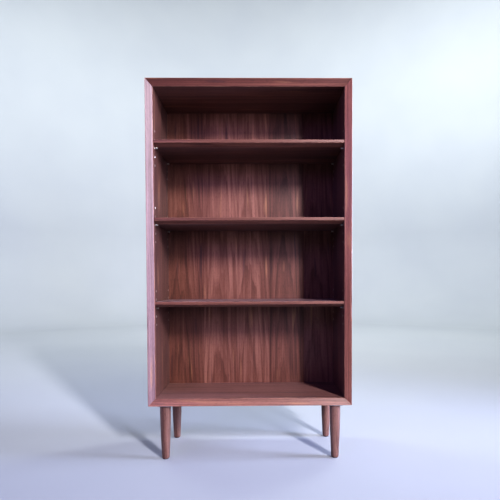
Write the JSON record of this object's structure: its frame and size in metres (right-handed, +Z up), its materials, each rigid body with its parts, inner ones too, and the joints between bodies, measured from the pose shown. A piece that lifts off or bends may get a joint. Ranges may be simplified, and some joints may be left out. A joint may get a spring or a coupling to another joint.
{
  "type": "bookcase with adjustable shelves",
  "caption": "Free-standing open bookcase in oiled walnut: mitred case with inward-sloping front edges, inset back, adjustable shelves on metal pins, round tapered legs.",
  "frame": {"origin": "on the floor, under the middle of the case", "axes": "+Z up, -Y out of the open front, +X to the right seen from the front"},
  "size_m": [0.762, 0.28, 1.419],
  "materials": {
    "walnut_case": "satin oiled walnut veneer with mitred solid front edges",
    "walnut_back": "satin oiled walnut veneer, upright grain",
    "walnut_shelf": "satin oiled walnut veneer, grain along the shelf",
    "walnut_leg": "satin oiled turned walnut",
    "nickel": "satin nickel-plated steel",
    "zinc_steel": "bright zinc-plated steel",
    "nylon": "dark brown matt nylon"
  },
  "bodies": {
    "case": {"left_side": "walnut_case", "right_side": "walnut_case", "top_panel": "walnut_case", "bottom_panel": "walnut_case", "back_panel": "walnut_back", "leg_front_left": "walnut_leg", "leg_front_right": "walnut_leg", "leg_back_left": "walnut_leg", "leg_back_right": "walnut_leg", "leg_plate_front_left": "zinc_steel", "leg_plate_front_right": "zinc_steel", "leg_plate_back_left": "zinc_steel", "leg_plate_back_right": "zinc_steel", "hanger_bolt_front_left": "zinc_steel", "hanger_bolt_front_right": "zinc_steel", "hanger_bolt_back_left": "zinc_steel", "hanger_bolt_back_right": "zinc_steel", "plate_screw_front_left_1": "zinc_steel", "plate_screw_front_left_2": "zinc_steel", "plate_screw_front_left_3": "zinc_steel", "plate_screw_front_left_4": "zinc_steel", "plate_screw_front_right_1": "zinc_steel", "plate_screw_front_right_2": "zinc_steel", "plate_screw_front_right_3": "zinc_steel", "plate_screw_front_right_4": "zinc_steel", "plate_screw_back_left_1": "zinc_steel", "plate_screw_back_left_2": "zinc_steel", "plate_screw_back_left_3": "zinc_steel", "plate_screw_back_left_4": "zinc_steel", "plate_screw_back_right_1": "zinc_steel", "plate_screw_back_right_2": "zinc_steel", "plate_screw_back_right_3": "zinc_steel", "plate_screw_back_right_4": "zinc_steel", "glide_front_left": "nylon", "glide_front_right": "nylon", "glide_back_left": "nylon", "glide_back_right": "nylon", "back_screw_bottom": "zinc_steel", "back_screw_top": "zinc_steel", "back_screw_left_1": "zinc_steel", "back_screw_left_2": "zinc_steel", "back_screw_left_3": "zinc_steel", "back_screw_right_1": "zinc_steel", "back_screw_right_2": "zinc_steel", "back_screw_right_3": "zinc_steel"},
    "shelf_1": {"shelf_1": "walnut_shelf"},
    "shelf_2": {"shelf_2": "walnut_shelf"},
    "shelf_3": {"shelf_3": "walnut_shelf"},
    "pin_1_front_left": {"pin_1_front_left": "nickel"},
    "pin_1_front_right": {"pin_1_front_right": "nickel"},
    "pin_1_back_left": {"pin_1_back_left": "nickel"},
    "pin_1_back_right": {"pin_1_back_right": "nickel"},
    "pin_2_front_left": {"pin_2_front_left": "nickel"},
    "pin_2_front_right": {"pin_2_front_right": "nickel"},
    "pin_2_back_left": {"pin_2_back_left": "nickel"},
    "pin_2_back_right": {"pin_2_back_right": "nickel"},
    "pin_3_front_left": {"pin_3_front_left": "nickel"},
    "pin_3_front_right": {"pin_3_front_right": "nickel"},
    "pin_3_back_left": {"pin_3_back_left": "nickel"},
    "pin_3_back_right": {"pin_3_back_right": "nickel"}
  },
  "joints": [
    {"name": "shelf_1_pull", "type": "slide", "parent": "case", "child": "shelf_1", "axis": [0, -1, 0], "range_m": [0, 0.25]},
    {"name": "shelf_2_pull", "type": "slide", "parent": "case", "child": "shelf_2", "axis": [0, -1, 0], "range_m": [0, 0.25]},
    {"name": "shelf_3_pull", "type": "slide", "parent": "case", "child": "shelf_3", "axis": [0, -1, 0], "range_m": [0, 0.25]},
    {"name": "pin_1_front_left_pull", "type": "slide", "parent": "case", "child": "pin_1_front_left", "axis": [1, 0, 0], "range_m": [0, 0.011]},
    {"name": "pin_1_front_right_pull", "type": "slide", "parent": "case", "child": "pin_1_front_right", "axis": [-1, 0, 0], "range_m": [0, 0.011]},
    {"name": "pin_1_back_left_pull", "type": "slide", "parent": "case", "child": "pin_1_back_left", "axis": [1, 0, 0], "range_m": [0, 0.011]},
    {"name": "pin_1_back_right_pull", "type": "slide", "parent": "case", "child": "pin_1_back_right", "axis": [-1, 0, 0], "range_m": [0, 0.011]},
    {"name": "pin_2_front_left_pull", "type": "slide", "parent": "case", "child": "pin_2_front_left", "axis": [1, 0, 0], "range_m": [0, 0.011]},
    {"name": "pin_2_front_right_pull", "type": "slide", "parent": "case", "child": "pin_2_front_right", "axis": [-1, 0, 0], "range_m": [0, 0.011]},
    {"name": "pin_2_back_left_pull", "type": "slide", "parent": "case", "child": "pin_2_back_left", "axis": [1, 0, 0], "range_m": [0, 0.011]},
    {"name": "pin_2_back_right_pull", "type": "slide", "parent": "case", "child": "pin_2_back_right", "axis": [-1, 0, 0], "range_m": [0, 0.011]},
    {"name": "pin_3_front_left_pull", "type": "slide", "parent": "case", "child": "pin_3_front_left", "axis": [1, 0, 0], "range_m": [0, 0.011]},
    {"name": "pin_3_front_right_pull", "type": "slide", "parent": "case", "child": "pin_3_front_right", "axis": [-1, 0, 0], "range_m": [0, 0.011]},
    {"name": "pin_3_back_left_pull", "type": "slide", "parent": "case", "child": "pin_3_back_left", "axis": [1, 0, 0], "range_m": [0, 0.011]},
    {"name": "pin_3_back_right_pull", "type": "slide", "parent": "case", "child": "pin_3_back_right", "axis": [-1, 0, 0], "range_m": [0, 0.011]}
  ]
}
